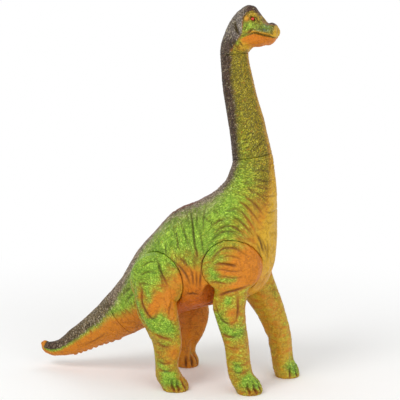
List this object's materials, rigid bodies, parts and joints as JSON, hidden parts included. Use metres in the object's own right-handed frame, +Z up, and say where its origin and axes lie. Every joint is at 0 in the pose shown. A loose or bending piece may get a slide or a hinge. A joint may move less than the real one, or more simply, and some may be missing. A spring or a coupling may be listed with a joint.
{
  "type": "toy sauropod figure",
  "caption": "Long-necked sauropod toy in hollow soft vinyl, standing on four legs, with turning neck, head and tail and legs that swing at hip and shoulder.",
  "frame": {"origin": "middle of the bounding box on the ground, with the soles on z = 0", "axes": "+X the way the animal faces, +Y its left side, +Z up"},
  "size_m": [0.284, 0.1196, 0.3986],
  "materials": {
    "vinyl_green": "glossy soft vinyl, orange airbrushed yellow-green",
    "vinyl_olive": "glossy soft vinyl, olive yellow with a dark dry-brushed stripe",
    "vinyl_orange": "glossy soft vinyl, orange with a green airbrushed top",
    "eye_gloss": "high gloss",
    "joint_plastic": "plain moulded hard plastic"
  },
  "bodies": {
    "torso": {"torso_shell": "vinyl_green", "neck_socket": "joint_plastic", "tail_socket": "joint_plastic", "right_foreleg_socket": "joint_plastic", "left_foreleg_socket": "joint_plastic", "right_hindleg_socket": "joint_plastic", "left_hindleg_socket": "joint_plastic"},
    "neck": {"neck_shell": "vinyl_olive", "neck_plug": "joint_plastic", "head_socket": "joint_plastic"},
    "head": {"head_shell": "vinyl_olive", "head_plug": "joint_plastic", "right_eye": "eye_gloss", "left_eye": "eye_gloss"},
    "tail": {"tail_shell": "vinyl_orange", "tail_plug": "joint_plastic"},
    "right_foreleg": {"right_foreleg_shell": "vinyl_orange", "right_foreleg_plug": "joint_plastic"},
    "left_foreleg": {"left_foreleg_shell": "vinyl_orange", "left_foreleg_plug": "joint_plastic"},
    "right_hindleg": {"right_hindleg_shell": "vinyl_orange", "right_hindleg_plug": "joint_plastic"},
    "left_hindleg": {"left_hindleg_shell": "vinyl_orange", "left_hindleg_plug": "joint_plastic"}
  },
  "joints": [
    {"name": "neck_turn", "type": "hinge", "parent": "torso", "child": "neck", "pos_m": [0.09646, 0, 0.244], "axis": [-0.1736, 0, 0.9848], "range_deg": [-50, 50]},
    {"name": "head_turn", "type": "hinge", "parent": "neck", "child": "head", "pos_m": [0.07676, 0, 0.35], "axis": [-0.0349, 0, 0.9994], "range_deg": [-70, 70]},
    {"name": "tail_turn", "type": "hinge", "parent": "torso", "child": "tail", "pos_m": [-0.047, 0, 0.067], "axis": [-0.8192, 0, -0.5736], "range_deg": [-40, 40]},
    {"name": "right_foreleg_swing", "type": "hinge", "parent": "torso", "child": "right_foreleg", "pos_m": [0.085, -0.02198, 0.133], "axis": [0, 1, 0], "range_deg": [-20, 20]},
    {"name": "left_foreleg_swing", "type": "hinge", "parent": "torso", "child": "left_foreleg", "pos_m": [0.085, 0.02198, 0.133], "axis": [0, 1, 0], "range_deg": [-20, 20]},
    {"name": "right_hindleg_swing", "type": "hinge", "parent": "torso", "child": "right_hindleg", "pos_m": [0.00496, -0.02851, 0.114], "axis": [0, 1, 0], "range_deg": [-15, 15]},
    {"name": "left_hindleg_swing", "type": "hinge", "parent": "torso", "child": "left_hindleg", "pos_m": [0.00496, 0.02851, 0.114], "axis": [0, 1, 0], "range_deg": [-15, 15]}
  ]
}
